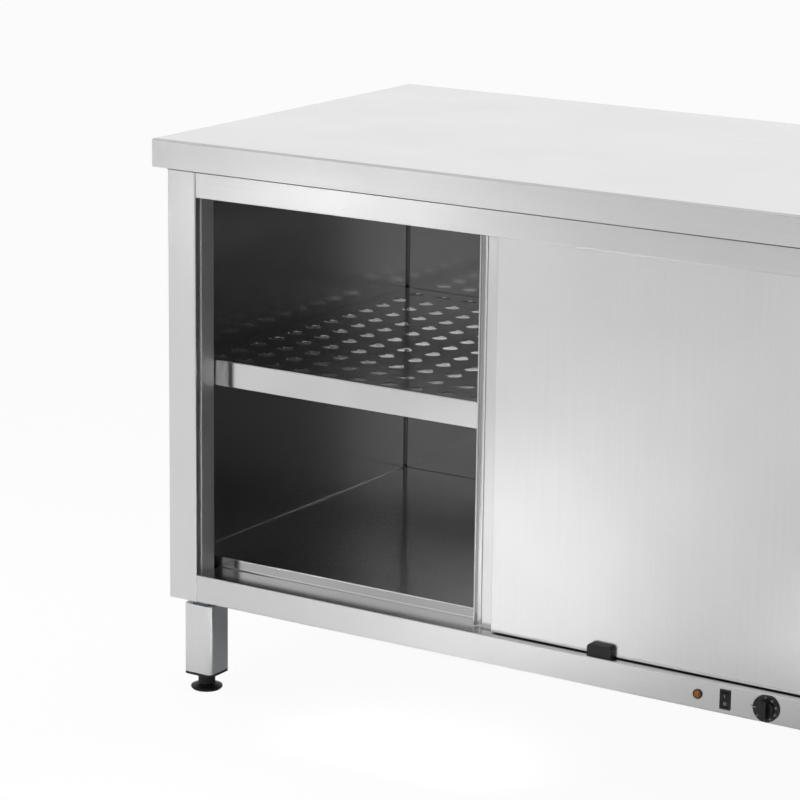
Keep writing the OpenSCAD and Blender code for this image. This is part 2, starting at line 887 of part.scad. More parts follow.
// Screw-in foot: pad with a coned top, collar and stem
module foot(sx, sy) {
    r = foot_d / 2;
    c = foot_collar_d / 2;
    chamfer = foot_pad / 4;
    h = foot_h - run_fit;
    outline = [
        [0, 0], [r - chamfer, 0], [r, chamfer], [r, foot_pad / 2], [c, foot_pad], [c, h],
        [stem_d / 2, h], [stem_d / 2, h + stem_l], [0, h + stem_l]
    ];
    color(black) translate([sx * leg_x, sy * leg_y, 0])
        rotate_extrude() polygon(outline);
}

module foot_front_left() {
    foot(-1, -1);
}

module foot_front_right() {
    foot(1, -1);
}

module foot_rear_left() {
    foot(-1, 1);
}

module foot_rear_right() {
    foot(1, 1);
}

// Places one door, drawn from its finger pull at X = 0 with its face on Y = 0
module left_place() {
    translate([left_door_x, rear_door_y, 0]) children();
}

module right_place() {
    translate([right_door_x + door_w, front_door_y, 0]) other_side() children();
}

// Door skin folded round its edges, with the finger pull and closed ends
module door_skin() {
    half = (pull_w - pull_edge) / 2;
    trough = [for (k = [0 : pull_steps])
        let (a = 180 * k / pull_steps)
        [pull_edge + half * (1 - cos(a)), pull_d * sin(a)]];
    path = concat(
        [[door_flange, door_t], [0, door_t], [0, 0]], trough,
        [[door_w, 0], [door_w, door_t], [door_w - door_flange, door_t]]
    );
    cap_w = door_w - pull_w - door_sheet;
    cap_d = door_t - 2 * door_sheet;
    color(bright) translate([0, 0, z_door]) {
        linear_extrude(door_h) folded(path, door_sheet, door_bend);
        translate([pull_w + door_sheet / 2, door_sheet / 2, 0])
            cube([cap_w, cap_d - door_sheet / 2, door_sheet]);
        translate([pull_w + door_sheet / 2, hanger_y + hanger_t, door_h - door_sheet])
            cube([cap_w, cap_d - hanger_y - hanger_t, door_sheet]);
    }
}

// Inner sheet held under the skin's flanges
module door_back() {
    x0 = door_sheet + door_bend + run_fit;
    color(steel) translate([x0, door_t - 2 * door_sheet, z_door])
        cube([door_w - 2 * x0, door_sheet, door_h]);
}

// Hanger plates inside the door, each with the axle of a roller
module door_hangers() {
    z0 = z_door + door_h - hanger_grip;
    axle_l = hanger_t + roller_w + 2 * run_gap;
    color(zinc)
        for (x = hanger_xs) {
            translate([x - hanger_w / 2, hanger_y, z0])
                cube([hanger_w, hanger_t, hanger_top - z0]);
            translate([x, hanger_y, axle_z]) rotate([-90, 0, 0]) {
                cylinder(d = axle_d, h = axle_l + axle_head_t);
                translate([0, 0, axle_l]) cylinder(d = axle_head_d, h = axle_head_t);
            }
        }
}

// Nylon roller with recessed cheeks
module door_roller(i) {
    r = roller_d / 2;
    bore = axle_d / 2 + run_fit;
    hub = axle_head_d / 2 + run_gap;
    rim = r - roller_w / 2;
    dip = roller_w / 5;
    crown = roller_w / 8;
    outline = [
        [bore, 0], [hub, 0], [hub, dip], [rim, dip], [rim, 0], [r - crown, 0], [r, crown],
        [r, roller_w - crown], [r - crown, roller_w], [rim, roller_w], [rim, roller_w - dip],
        [hub, roller_w - dip], [hub, roller_w], [bore, roller_w]
    ];
    color(white) translate([hanger_xs[i], roller_y, axle_z])
        rotate([-90, 0, 0]) rotate_extrude() polygon(outline);
}

module left_door_skin() {
    left_place() door_skin();
}

module left_door_back() {
    left_place() door_back();
}

module left_door_hangers() {
    left_place() door_hangers();
}

module left_door_roller_1() {
    left_place() door_roller(0);
}

module left_door_roller_2() {
    left_place() door_roller(1);
}

module right_door_skin() {
    right_place() door_skin();
}

module right_door_back() {
    right_place() door_back();
}

module right_door_hangers() {
    right_place() door_hangers();
}

module right_door_roller_1() {
    right_place() door_roller(0);
}

module right_door_roller_2() {
    right_place() door_roller(1);
}

// Knob with a skirt and a grip bar, bored for the shaft and its bush
module thermostat_knob() {
    grip_r = knob_d / 2 - 2 * knob_skirt;
    color(black) translate([knob_x, knob_back, ctrl_z]) rotate([90, 0, 0]) difference() {
        union() {
            cylinder(d = knob_d, h = knob_skirt);
            cylinder(r = grip_r, h = 2 * knob_skirt);
            intersection() {
                cylinder(r = grip_r, h = knob_h);
                translate([-knob_bar / 2, -grip_r, 0]) cube([knob_bar, 2 * grip_r, knob_h]);
            }
        }
        translate([0, 0, -over])
            cylinder(d = shaft_d + 2 * run_fit, h = shaft_out + over);
        translate([0, 0, -over])
            cylinder(d = bush_d + 2 * run_gap, h = knob_skirt + over);
    }
}

worktop();
worktop_stiffeners();
ceiling_panel();
top_rail();
bottom_rail();
left_side_panel();
right_side_panel();
left_jamb();
right_jamb();
rear_panel();
floor_tray();
base_pan();
door_track();
door_guide();
perforated_shelf();
shelf_rib();
left_shelf_bearer();
right_shelf_bearer();
heating_element_front();
heating_element_rear();
heater_brackets();
thermostat_body();
thermostat_bulb();
bulb_clip();
overheat_cutout();
switch_housing();
pilot_lamp();
terminal_block();
cable_gland();
leg_front_left();
leg_front_right();
leg_rear_left();
leg_rear_right();
leg_spigots();
leg_inserts();
left_door_skin();
left_door_back();
left_door_hangers();
right_door_skin();
right_door_back();
right_door_hangers();
left_door_roller_1();
left_door_roller_2();
right_door_roller_1();
right_door_roller_2();
thermostat_knob();
switch_rocker();
foot_front_left();
foot_front_right();
foot_rear_left();
foot_rear_right();
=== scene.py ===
"""Dresses the hot cupboard: sheet finishes, control markings, fasteners, camera and studio.

Every piece is in metres, in the model's own frame: +Z up, front towards -Y, origin on the floor
under the middle of the worktop.
"""

import json
import logging
import math
from dataclasses import dataclass
from enum import Enum
from typing import Any, Iterable, Sequence

import bpy
import numpy as np
from mathutils import Matrix, Vector


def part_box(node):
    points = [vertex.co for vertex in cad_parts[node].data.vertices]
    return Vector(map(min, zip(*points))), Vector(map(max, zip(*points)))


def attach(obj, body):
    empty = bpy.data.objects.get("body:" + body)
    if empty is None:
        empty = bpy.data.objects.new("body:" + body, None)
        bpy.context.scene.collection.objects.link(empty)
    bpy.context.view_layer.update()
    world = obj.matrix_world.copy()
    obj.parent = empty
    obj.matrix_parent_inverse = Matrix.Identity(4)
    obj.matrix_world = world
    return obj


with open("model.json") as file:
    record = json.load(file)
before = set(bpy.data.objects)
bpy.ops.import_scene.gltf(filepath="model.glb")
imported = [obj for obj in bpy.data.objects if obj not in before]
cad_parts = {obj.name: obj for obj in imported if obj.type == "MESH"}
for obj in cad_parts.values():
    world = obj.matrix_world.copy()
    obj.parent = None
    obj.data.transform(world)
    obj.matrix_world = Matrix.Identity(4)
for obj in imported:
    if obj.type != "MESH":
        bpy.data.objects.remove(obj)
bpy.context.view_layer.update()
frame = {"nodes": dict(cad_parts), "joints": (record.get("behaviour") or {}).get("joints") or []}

log = logging.getLogger("hot_cupboard")

MM = 0.001


def linear(hex_colour: str) -> tuple[float, float, float, float]:
    """Turns an sRGB hex colour into linear RGBA.

    Args:
        hex_colour: six hex digits, with or without a leading #.

    Returns:
        The linear red, green, blue and an alpha of one.
    """
    digits = hex_colour.lstrip("#")
    srgb = np.array([int(digits[i:i + 2], 16) for i in (0, 2, 4)]) / 255.0
    rgb = np.where(srgb <= 0.04045, srgb / 12.92, ((srgb + 0.055) / 1.055) ** 2.4)
    return (*rgb.tolist(), 1.0)


def add_node(tree: bpy.types.NodeTree, kind: str, inputs: dict[Any, Any] | None = None,
             **settings: Any) -> bpy.types.Node:
    """Adds a node, sets its properties, and sets or links its inputs.

    Args:
        tree: the node tree that gets the node.
        kind: the node's type name, without the ShaderNode prefix.
        inputs: socket name or number to a value, or to an output socket that is linked to it.
        settings: the node's own properties.

    Returns:
        The new node.
    """
    node = tree.nodes.new("ShaderNode" + kind)
    for name, value in settings.items():
        setattr(node, name, value)
    for name, value in (inputs or {}).items():
        if isinstance(value, bpy.types.NodeSocket):
            tree.links.new(value, node.inputs[name])
        else:
            node.inputs[name].default_value = value
    return node


def mirrored_rays(tree: bpy.types.NodeTree,
                  rays: bpy.types.bpy_prop_collection) -> bpy.types.NodeSocket:
    """Adds Is Glossy Ray and Is Transmission Ray: one for what metal and glass show, else zero."""
    return add_node(tree, "Math", {0: rays["Is Glossy Ray"], 1: rays["Is Transmission Ray"]},
                    operation="ADD", use_clamp=True).outputs[0]


def middle_of(node: str) -> np.ndarray:
    """Gives the middle of a CAD node's box."""
    low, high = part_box(node)
    return (np.array(low) + np.array(high)) / 2.0


class Grain(Enum):
    """The axis that a sheet was brushed, rolled or drawn along."""

    X = (1.0, 0.0, 0.0)
    Y = (0.0, 1.0, 0.0)
    Z = (0.0, 0.0, 1.0)

    def scale(self, along_mm: float, across_mm: float) -> tuple[float, ...]:
        """Gives cycles per metre on each axis for marks of this length and width."""
        return tuple(a * 1000.0 / along_mm + (1.0 - a) * 1000.0 / across_mm for a in self.value)


@dataclass(frozen=True)
class Finish:
    """A surface finish, which makes its own material once.

    Attributes:
        name: what the material is and how its surface was made.
        colour: sRGB hex of the clean surface.
        shade: sRGB hex that the pattern darkens or tints it to.
        roughness: mean roughness.
        spread: how far the pattern moves the roughness either way.
        metallic: one for metal, zero for the rest.
        span: pattern values at which the tint begins and is full.
    """

    name: str
    colour: str
    shade: str
    roughness: float
    spread: float
    metallic: float = 0.0
    span: tuple[float, float] = (0.0, 1.0)

    def material(self) -> bpy.types.Material:
        """Gives the material, and builds it on first use."""
        found = bpy.data.materials.get(self.name)
        if found:
            return found
        made = bpy.data.materials.new(self.name)
        made.use_nodes = True
        tree = made.node_tree
        tree.nodes.clear()
        place = add_node(tree, "TexCoord").outputs["Object"]
        shader = add_node(tree, "BsdfPrincipled", {"Metallic": self.metallic})
        self.pattern(tree, place, shader)
        add_node(tree, "OutputMaterial", {"Surface": shader.outputs[0]})
        made.diffuse_color = linear(self.colour)
        return made

    def pattern(self, tree: bpy.types.NodeTree, place: bpy.types.NodeSocket,
                shader: bpy.types.Node) -> None:
        """Drives colour, roughness and relief of the shader; each kind of finish has its own."""
        raise NotImplementedError

    def tint(self, tree: bpy.types.NodeTree, amount: bpy.types.NodeSocket) -> bpy.types.NodeSocket:
        """Runs a pattern through a ramp from the clean colour to the shade.

        Args:
            tree: the material's node tree.
            amount: the pattern, from zero to one.

        Returns:
            The colour socket.
        """
        ramp = add_node(tree, "ValToRGB", {"Fac": amount})
        first, last = ramp.color_ramp.elements
        first.position, last.position = self.span
        first.color, last.color = linear(self.colour), linear(self.shade)
        return ramp.outputs["Color"]

    def gloss(self, tree: bpy.types.NodeTree, amount: bpy.types.NodeSocket) -> bpy.types.NodeSocket:
        """Moves the roughness by the pattern: mean + spread * (2 * amount - 1)."""
        low, high = self.roughness - self.spread, self.roughness + self.spread
        return add_node(tree, "MapRange", {
            "Value": amount, "To Min": low, "To Max": high}).outputs[0]


@dataclass(frozen=True)
class BrushedSteel(Finish):
    """Stainless sheet, brushed along one axis: soft streaks that blur what it mirrors.

    Attributes:
        metallic: all metal.
        span: a soft tint.
        grain: the brushing axis.
        streak_mm: width of a streak; the belt's own lines are about 0.1 mm, too fine to show, so
            they are drawn in bundles this wide.
        streak_len_mm: length of a streak.
        relief_mm: depth of the lines.
        smear_mm: size of the cloudy marks left by wiping.
    """

    metallic: float = 1.0
    span: tuple[float, float] = (0.3, 0.75)
    grain: Grain = Grain.X
    streak_mm: float = 1.2
    streak_len_mm: float = 300.0
    relief_mm: float = 0.0012
    smear_mm: float = 160.0

    def pattern(self, tree: bpy.types.NodeTree, place: bpy.types.NodeSocket,
                shader: bpy.types.Node) -> None:
        """Long streaks for roughness and relief, wide smears for colour."""
        lines = add_node(tree, "Mapping", {
            "Vector": place, "Scale": self.grain.scale(self.streak_len_mm, self.streak_mm)})
        streak = add_node(tree, "TexNoise", {
            "Vector": lines.outputs[0], "Scale": 1.0, "Detail": 3.0})
        smear = add_node(tree, "TexNoise", {
            "Vector": place, "Scale": 1.0 / (self.smear_mm * MM), "Detail": 2.0})
        both = add_node(tree, "Math", {0: streak.outputs[0], 1: smear.outputs[0]}, operation="ADD")
        half = add_node(tree, "Math", {0: both.outputs[0], 1: 0.5}, operation="MULTIPLY")
        bump = add_node(tree, "Bump", {
            "Height": streak.outputs[0], "Strength": 1.0, "Distance": self.relief_mm * MM})
        tree.links.new(self.tint(tree, half.outputs[0]), shader.inputs["Base Color"])
        tree.links.new(self.gloss(tree, half.outputs[0]), shader.inputs["Roughness"])
        tree.links.new(bump.outputs[0], shader.inputs["Normal"])


@dataclass(frozen=True)
class RolledSteel(Finish):
    """Bright cold-rolled stainless sheet: a near mirror with a slight rolled waviness.

    Attributes:
        metallic: all metal.
        span: a soft tint.
        wave_mm: size of the sheet's slow waves.
        wave_mm_high: height of the waves.
        pit_mm: size of the rolled skin's fine texture, drawn coarse enough to show.
        pit_share: share of that texture in the pattern, beside the waves.
    """

    metallic: float = 1.0
    span: tuple[float, float] = (0.35, 0.7)
    wave_mm: float = 140.0
    wave_mm_high: float = 0.05
    pit_mm: float = 3.0
    pit_share: float = 0.12

    def pattern(self, tree: bpy.types.NodeTree, place: bpy.types.NodeSocket,
                shader: bpy.types.Node) -> None:
        """Slow waves for relief, wiping marks for roughness and colour."""
        wave = add_node(tree, "TexNoise", {
            "Vector": place, "Scale": 1.0 / (self.wave_mm * MM), "Detail": 1.0})
        skin = add_node(tree, "TexNoise", {
            "Vector": place, "Scale": 1.0 / (self.pit_mm * MM), "Detail": 2.0})
        mixed = add_node(tree, "Mix", {
            "Factor": self.pit_share, "A": wave.outputs[0], "B": skin.outputs[0]})
        bump = add_node(tree, "Bump", {
            "Height": wave.outputs[0], "Strength": 1.0, "Distance": self.wave_mm_high * MM})
        amount = mixed.outputs[0]
        tree.links.new(self.tint(tree, amount), shader.inputs["Base Color"])
        tree.links.new(self.gloss(tree, amount), shader.inputs["Roughness"])
        tree.links.new(bump.outputs[0], shader.inputs["Normal"])


@dataclass(frozen=True)
class ShelfPaintedShadeBelow(RolledSteel):
    """Rolled sheet over the heaters: bright on top and on its lip, darker underneath, where the
    colour is painted shade.

    Attributes:
        underside_shade: sRGB hex of the underside.
        node: the CAD node that the sheet is.
        below_mm: depth under the top face that lies between the sheet's two faces.
        lip_mm: depth behind the front that lies past the lip's back.
    """

    # The underside's painted shade.
    underside_shade: str = "7E7D7C"
    node: str = "perforated_shelf"
    below_mm: float = 0.6
    lip_mm: float = 2.0

    def pattern(self, tree: bpy.types.NodeTree, place: bpy.types.NodeSocket,
                shader: bpy.types.Node) -> None:
        """The rolled sheet's pattern, with another colour under the sheet, behind the lip."""
        super().pattern(tree, place, shader)
        low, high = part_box(self.node)
        face_z, lip_y = high.z - self.below_mm * MM, low.y + self.lip_mm * MM
        clean = shader.inputs["Base Color"].links[0].from_socket
        part = add_node(tree, "SeparateXYZ", {0: place}).outputs
        under = add_node(tree, "Math", {0: part["Z"], 1: face_z}, operation="LESS_THAN")
        behind = add_node(tree, "Math", {0: part["Y"], 1: lip_y}, operation="GREATER_THAN")
        both = add_node(tree, "Math", {0: under.outputs[0], 1: behind.outputs[0]},
                        operation="MULTIPLY")
        # Under the sheet, behind the lip, the colour turns to the underside's painted shade.
        colour = add_node(tree, "Mix", {
            "Factor": both.outputs[0], "A": clean, "B": linear(self.underside_shade)}, data_type="RGBA")
        tree.links.new(colour.outputs["Result"], shader.inputs["Base Color"])


@dataclass(frozen=True)
class SpangledZinc(Finish):
    """Hot-dip galvanised sheet: a patchwork of dull crystals.

    Attributes:
        metallic: all metal.
        crystal_mm: width of a zinc crystal.
    """

    metallic: float = 1.0
    crystal_mm: float = 9.0

    def pattern(self, tree: bpy.types.NodeTree, place: bpy.types.NodeSocket,
                shader: bpy.types.Node) -> None:
        """One tone and roughness for each crystal cell."""
        cells = add_node(tree, "TexVoronoi", {
            "Vector": place, "Scale": 1.0 / (self.crystal_mm * MM)})
        tone = add_node(tree, "SeparateColor", {"Color": cells.outputs["Color"]})
        tree.links.new(self.tint(tree, tone.outputs[0]), shader.inputs["Base Color"])
        tree.links.new(self.gloss(tree, tone.outputs[1]), shader.inputs["Roughness"])


@dataclass(frozen=True)
class MouldedPlastic(Finish):
    """Moulded plastic, ceramic or ink: a spark-eroded grit with faint handling marks.

    Attributes:
        span: a soft tint.
        grit_mm: size of the mould's grit, drawn coarse enough to show.
        relief_mm: depth of the grit.
    """

    span: tuple[float, float] = (0.35, 0.75)
    grit_mm: float = 0.7
    relief_mm: float = 0.03

    def pattern(self, tree: bpy.types.NodeTree, place: bpy.types.NodeSocket,
                shader: bpy.types.Node) -> None:
        """Fine grit for relief and roughness, with its high points tinted."""
        grit = add_node(tree, "TexNoise", {
            "Vector": place, "Scale": 1.0 / (self.grit_mm * MM), "Detail": 2.0})
        bump = add_node(tree, "Bump", {
            "Height": grit.outputs[0], "Strength": 1.0, "Distance": self.relief_mm * MM})
        tree.links.new(self.tint(tree, grit.outputs[0]), shader.inputs["Base Color"])
        tree.links.new(self.gloss(tree, grit.outputs[0]), shader.inputs["Roughness"])
        tree.links.new(bump.outputs[0], shader.inputs["Normal"])


@dataclass(frozen=True)
class BezelledLens(Finish):
    """A moulded lens with a black bezel round it: amber inside a radius, black outside.

    Attributes:
        bezel: sRGB hex of the bezel.
        node: the CAD node whose middle is the lens's.
        lens_r_mm: radius of the lens.
        facet_mm: width of the lens's moulded facets.
    """

    bezel: str = "141415"
    node: str = "pilot_lamp"
    lens_r_mm: float = 5.0
    facet_mm: float = 1.6

    def pattern(self, tree: bpy.types.NodeTree, place: bpy.types.NodeSocket,
                shader: bpy.types.Node) -> None:
        """Distance from the axis chooses lens or bezel; facets tint and roughen the lens."""
        across = (1.0, 0.0, 1.0)
        centre = (middle_of(self.node) * across).tolist()
        flat = add_node(tree, "VectorMath", {0: place, 1: across}, operation="MULTIPLY")
        away = add_node(tree, "VectorMath", {0: flat.outputs[0], 1: centre},
                        operation="DISTANCE")
        outside = add_node(tree, "Math", {0: away.outputs["Value"], 1: self.lens_r_mm * MM},
                           operation="GREATER_THAN")
        facet = add_node(tree, "TexVoronoi", {"Vector": place, "Scale": 1.0 / (self.facet_mm * MM)})
        tone = add_node(tree, "SeparateColor", {"Color": facet.outputs["Color"]}).outputs[0]
        colour = add_node(tree, "Mix", {
            "Factor": outside.outputs[0], "A": self.tint(tree, tone),
            "B": linear(self.bezel)}, data_type="RGBA")
        tree.links.new(colour.outputs["Result"], shader.inputs["Base Color"])
        tree.links.new(self.gloss(tree, tone), shader.inputs["Roughness"])


# Satin sheet: pale, its fine lines blur a reflection a little.
TOP_SATIN = BrushedSteel("stainless_satin_worktop", "EBEBEB", "E4E4E4", 0.24, 0.04, grain=Grain.X)
RAIL_SATIN = BrushedSteel("stainless_satin_rail", "E0E0E0", "D8D8D8", 0.20, 0.03, grain=Grain.X)
POST_SATIN = BrushedSteel("stainless_satin_post", "E6E6E6", "DEDEDF", 0.18, 0.03, grain=Grain.Z)
JAMB_SATIN = BrushedSteel("stainless_satin_jamb", "EEEEEE", "E6E6E7", 0.62, 0.08, grain=Grain.Z)
DOOR_SATIN = BrushedSteel("stainless_satin_door", "E6E6E6", "DEDEDE", 0.22, 0.03, grain=Grain.Z)
# The door satin made darker for the rear door: painted shade that sets it back from the front door.
REAR_DOOR_PAINTED_SHADE = BrushedSteel("stainless_satin_rear_door_painted_shade", "DADADA", "D1D1D2", 0.18, 0.03,
                               grain=Grain.Z)
LEG_SATIN = BrushedSteel("stainless_satin_leg", "E8E8E8", "DFDFE0", 0.15, 0.03, grain=Grain.Z)
# Polished weld: bright, with the short marks of the wheel along it.
WELD = BrushedSteel("stainless_weld_polished", "E8E8E8", "DCDCDC", 0.16, 0.04, grain=Grain.X,
                    streak_mm=0.8, streak_len_mm=30.0)
# Bright rolled sheet: almost a mirror, so the inside shows the holes and corners again.
LINER_BRIGHT = RolledSteel("stainless_rolled_liner", "E0E0E1", "D8D8D9", 0.14, 0.04)
# The same sheet over the heaters; its hidden underside is darker, painted shade that dims the tray it
# mirrors onto.
SHELF_BRIGHT = ShelfPaintedShadeBelow("stainless_rolled_shelf", "DEDEDF", "D6D6D7", 0.14, 0.04)
# Galvanised sheet: grey, dull, in visible crystals.
ZINC = SpangledZinc("galvanised_steel", "A9ADB0", "8F9498", 0.42, 0.10, crystal_mm=11.0)
# Zinc-plated pressings: a little brighter, in fine grains.
PLATED = SpangledZinc("zinc_plated_steel", "B4B8BA", "A1A6AA", 0.30, 0.06, crystal_mm=2.5)
# Mill-finish aluminium section: whiter than steel, with die lines along it.
TRACK = BrushedSteel("aluminium_extruded", "D4D6D8", "C2C5C8", 0.34, 0.06, grain=Grain.X,
                     streak_mm=0.9)
# Chromium-nickel heater tube: browned by heat, in soft bands along it.
SHEATH = BrushedSteel("heater_sheath_oxidised", "5C5048", "3A322D", 0.48, 0.08, grain=Grain.Y,
                      streak_mm=40.0, streak_len_mm=400.0)
# Drawn copper tube: warm and bright, with fine lines along it.
COPPER = BrushedSteel("copper_drawn", "C98B66", "A9694A", 0.30, 0.06, grain=Grain.X, streak_mm=0.8)
# Glass-filled nylon: black with a fine grey grit.
NYLON_BLACK = MouldedPlastic("nylon_black_moulded", "141415", "242426", 0.50, 0.08)
# ABS mouldings: blacker and smoother than the nylon.
PLASTIC_BLACK = MouldedPlastic("abs_black_moulded", "121213", "1E1E20", 0.38, 0.07, grit_mm=0.9)
# Unfilled nylon rollers: a warm white with a low shine.
NYLON_WHITE = MouldedPlastic("nylon_white_moulded", "E9E7DF", "DBD8CE", 0.36, 0.06)
# Glazed ceramic: creamy and shiny, with a slight orange peel.
CERAMIC = MouldedPlastic("ceramic_glazed", "EAE7DD", "DDD9CC", 0.18, 0.05, grit_mm=2.5,
                         relief_mm=0.02)
# Amber lens in a black bezel: the lens is clear, smooth plastic over a frosted back.
LAMP_AMBER = BezelledLens("polycarbonate_amber", "D8861C", "B9640C", 0.14, 0.04)
# Tooled sealant, dull: a real joint, whose dark grey is a painted shadow line between bright sheets.
SEALANT_SHADOW_LINE = MouldedPlastic("silicone_tooled_painted_shadow_line", "727375", "606163", 0.55, 0.08, grit_mm=3.0,
                         relief_mm=0.02)
# Screen-printed ink: flat and dull.
INK_BLACK = MouldedPlastic("ink_black_printed", "1A1A1B", "2B2B2D", 0.55, 0.08, relief_mm=0.005)
INK_WHITE = MouldedPlastic("ink_white_printed", "EDEDEA", "DCDCD8", 0.50, 0.08, relief_mm=0.005)


def dress(nodes: Iterable[str], finish: Finish) -> None:
    """Puts a finish on the material slots of CAD nodes.

    Args:
        nodes: the nodes' names.
        finish: what they are finished with.
    """
    for name in nodes:
        for slot in frame["nodes"][name].material_slots:
            slot.material = finish.material()
        log.info("dressed %s with %s", name, finish.name)


Shape = tuple[np.ndarray, list[list[int]]]


def swept(profile: np.ndarray, middle: np.ndarray, u: np.ndarray, v: np.ndarray,
          closed: bool) -> Shape:
    """Carries a closed profile (a, b) along a path: point = middle + a * u + b * v.

    Args:
        profile: P by 2, one turn round its edge.
        middle: N by 3, the path.
        u: N by 3, the profile's first direction at each step.
        v: N by 3, its second direction.
        closed: whether the path returns to its start; otherwise both ends are capped.

    Returns:
        The points and the faces.
    """
    steps, around = len(middle), len(profile)
    points = middle[:, None] + profile[:, 0, None] * u[:, None] + profile[:, 1, None] * v[:, None]
    number = np.arange(steps * around).reshape(steps, around)
    start = number if closed else number[:-1]
    end = np.roll(number, -1, axis=0) if closed else number[1:]
    quads = np.stack((start, np.roll(start, -1, axis=1), np.roll(end, -1, axis=1), end), axis=-1)
    quads, points = quads.reshape(-1, 4), points.reshape(-1, 3)
    faces = quads.tolist()
    if not closed:
        faces += [number[0, ::-1].tolist(), number[-1].tolist()]
    a, b, c, d = (points - points.mean(axis=0))[quads.T]
    inside_out = np.sum(a * np.cross(b, c) + a * np.cross(c, d)) < 0.0
    return points, [face[::-1] for face in faces] if inside_out else faces


def spun(radius: np.ndarray, height: np.ndarray, segments: int) -> Shape:
    """Turns a profile about Z: point = (r cos a, r sin a, h); the first and last radius are zero.

    Args:
        radius: profile radii, from the foot's middle to the crown's middle.
        height: profile heights, N or N by segments.
        segments: points round the axis.

    Returns:
        The points and the faces, closed at both poles.
    """
    angle = np.arange(segments) * (2.0 * math.pi / segments)
    tall = np.broadcast_to(np.reshape(height, (len(radius), -1)), (len(radius), segments))
    wide = radius[:, None]
    ring = np.stack((wide * np.cos(angle), wide * np.sin(angle), tall), axis=-1)
    points = np.concatenate((ring[0, :1], ring[1:-1].reshape(-1, 3), ring[-1, :1]))
    number = 1 + np.arange((len(radius) - 2) * segments).reshape(-1, segments)
    beside = np.roll(number, -1, axis=1)
    quads = np.stack((number[:-1], beside[:-1], beside[1:], number[1:]), axis=-1).reshape(-1, 4)
    top = np.full(segments, len(points) - 1)
    foot = np.stack((np.zeros(segments, int), beside[0], number[0]), axis=-1)
    crown = np.stack((number[-1], beside[-1], top), axis=-1)
    return points, quads.tolist() + foot.tolist() + crown.tolist()


def lettering(text: str, size: float, thick: float) -> Shape:
    """Sets plain lettering, centred on the origin, facing +Z.

    Args:
        text: the characters.
        size: type size, in metres.
        thick: half the thickness, in metres.

    Returns:
        The points and the faces of the closed letters.
    """
    type_curve = bpy.data.curves.new("type", "FONT")
    type_curve.body, type_curve.size, type_curve.extrude = text, size, thick
    type_curve.align_x, type_curve.align_y = "CENTER", "CENTER"
    holder = bpy.data.objects.new("type", type_curve)
    mesh = bpy.data.meshes.new_from_object(holder)
    points = np.empty(3 * len(mesh.vertices))
    mesh.vertices.foreach_get("co", points)
    faces = [list(face.vertices) for face in mesh.polygons]
    bpy.data.objects.remove(holder)
    bpy.data.curves.remove(type_curve)
    bpy.data.meshes.remove(mesh)
    return points.reshape(-1, 3), faces


def set_at(shape: Shape, place: Sequence[float], right: Sequence[float],
           up: Sequence[float]) -> Shape:
    """Sets a shape at a place: point = place + x * right + y * up + z * (right x up)."""
    turn = np.stack((right, up, np.cross(right, up)))
    return np.asarray(place) + shape[0] @ turn, shape[1]


def joined(shapes: Iterable[Shape]) -> Shape:
    """Joins shapes into one list of points and one of faces."""
    points: list[np.ndarray] = []
    faces: list[list[int]] = []
    count = 0
    for more, sides in shapes:
        faces += [[count + corner for corner in side] for side in sides]
        points.append(more)
        count += len(more)
    return np.concatenate(points), faces


def add_piece(name: str, shape: Shape, finish: Finish, body: str) -> bpy.types.Object:
    """Makes a mesh piece that rides on a body.

    Args:
        name: the piece's name.
        shape: its points, in metres, and faces.
        finish: its finish.
        body: the body it rides on.

    Returns:
        The new object.
    """
    mesh = bpy.data.meshes.new(name)
    mesh.from_pydata(shape[0].tolist(), [], shape[1])
    mesh.update()
    mesh.materials.append(finish.material())
    piece = bpy.data.objects.new(name, mesh)
    bpy.context.scene.collection.objects.link(piece)
    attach(piece, body)
    log.info("built %s: %d faces on %s", name, len(shape[1]), body)
    return piece


@dataclass(frozen=True)
class PhotoCamera:
    """The camera of the photograph, by where it looks and from how far.

    Attributes:
        aim: the point of the front that the middle of the picture shows, in metres.
        distance: from the camera to that point, in metres.
        azimuth: degrees round from the front towards the right.
        elevation: degrees above level.
        roll: degrees that the camera leans.
        sensor: width of the picture that the focal length goes with, in millimetres.
        lens: focal length, in millimetres.
        far: distance that the camera sees to, in metres.
    """

    aim: tuple[float, float, float] = (-0.1756, -0.334, 0.5136)
    distance: float = 4.5006
    azimuth: float = 32.37
    elevation: float = 13.87
    roll: float = -0.74
    sensor: float = 36.0
    lens: float = 142.605
    far: float = 200.0

    def build(self) -> None:
        """Adds the camera and makes it the scene's own."""
        azimuth, elevation, roll = np.radians((self.azimuth, self.elevation, self.roll))
        back = np.array((np.sin(azimuth) * np.cos(elevation), -np.cos(azimuth) * np.cos(elevation),
                         np.sin(elevation)))
        right = np.cross(-back, (0.0, 0.0, 1.0))
        right /= np.linalg.norm(right)
        down = np.cross(-back, right)
        leaned_right = np.cos(roll) * right + np.sin(roll) * down
        leaned_down = np.cos(roll) * down - np.sin(roll) * right
        matrix = np.eye(4)
        matrix[:3, :3] = np.column_stack((leaned_right, -leaned_down, back))
        matrix[:3, 3] = np.array(self.aim) + self.distance * back
        data = bpy.data.cameras.new("photo_camera")
        data.sensor_width, data.lens, data.clip_end = self.sensor, self.lens, self.far
        camera = bpy.data.objects.new("photo_camera", data)
        camera.matrix_world = Matrix(matrix.tolist())
        bpy.context.scene.collection.objects.link(camera)
        bpy.context.scene.camera = camera


